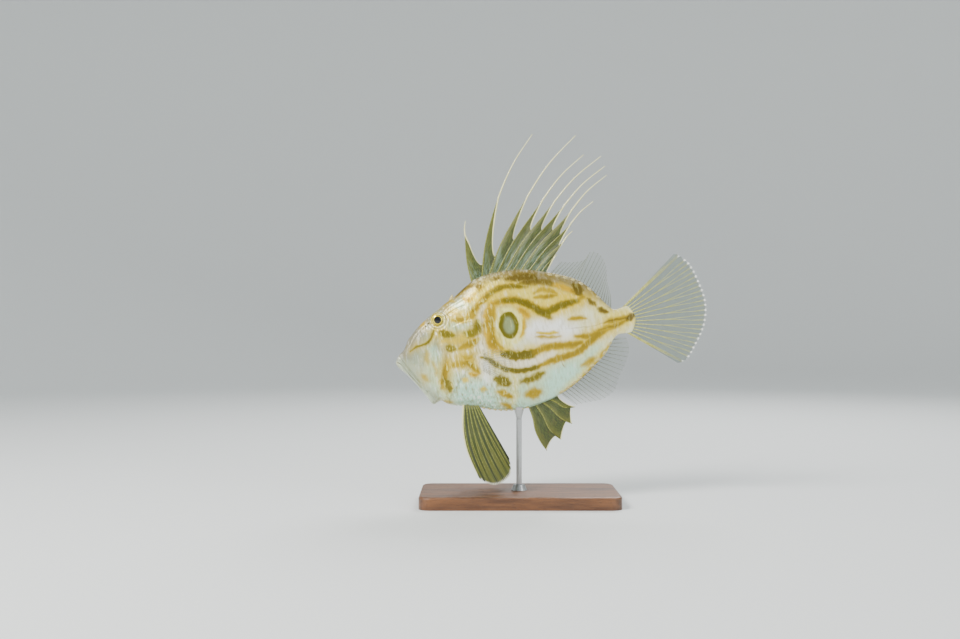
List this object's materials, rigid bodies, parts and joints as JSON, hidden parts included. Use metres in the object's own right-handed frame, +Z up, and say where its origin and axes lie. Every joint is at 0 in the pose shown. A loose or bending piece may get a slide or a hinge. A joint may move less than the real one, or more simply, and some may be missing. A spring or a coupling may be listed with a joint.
{
  "type": "john dory fish model",
  "caption": "Life-size still model of a John dory with raised spiny dorsal fin and trailing threads, nose slightly down on a plain display stand.",
  "frame": {"origin": "on the table, at the centre of the underside of the stand's base, under the rod", "axes": "+Z up; -X is where the fish faces, nose down by about 10 degrees; -Y is its left side"},
  "size_m": [0.3955, 0.13, 0.4688],
  "materials": {
    "skin": "satin silver skin with golden olive bands and one dark ringed spot on each side",
    "eye": "glossy, yellow iris round a black pupil",
    "dark_fin": "olive fin skin, satin",
    "clear_fin": "thin, partly see-through fin skin",
    "wood": "oiled dark wood",
    "steel": "brushed"
  },
  "bodies": {
    "root": {"head": "skin", "upper_jaw": "skin", "lower_jaw": "skin", "gill_cover_left": "skin", "gill_cover_right": "skin", "trunk": "skin", "tail_stalk": "skin", "eye_left": "eye", "eye_right": "eye", "spiny_dorsal_fin": "dark_fin", "spiny_anal_fin": "dark_fin", "pelvic_fin_left": "dark_fin", "pelvic_fin_right": "dark_fin", "soft_dorsal_fin": "clear_fin", "soft_anal_fin": "clear_fin", "caudal_fin": "clear_fin", "pectoral_fin_left": "clear_fin", "pectoral_fin_right": "clear_fin", "stand_base": "wood", "stand_rod": "steel", "stand_cup": "steel", "stand_collar": "steel"}
  },
  "joints": []
}
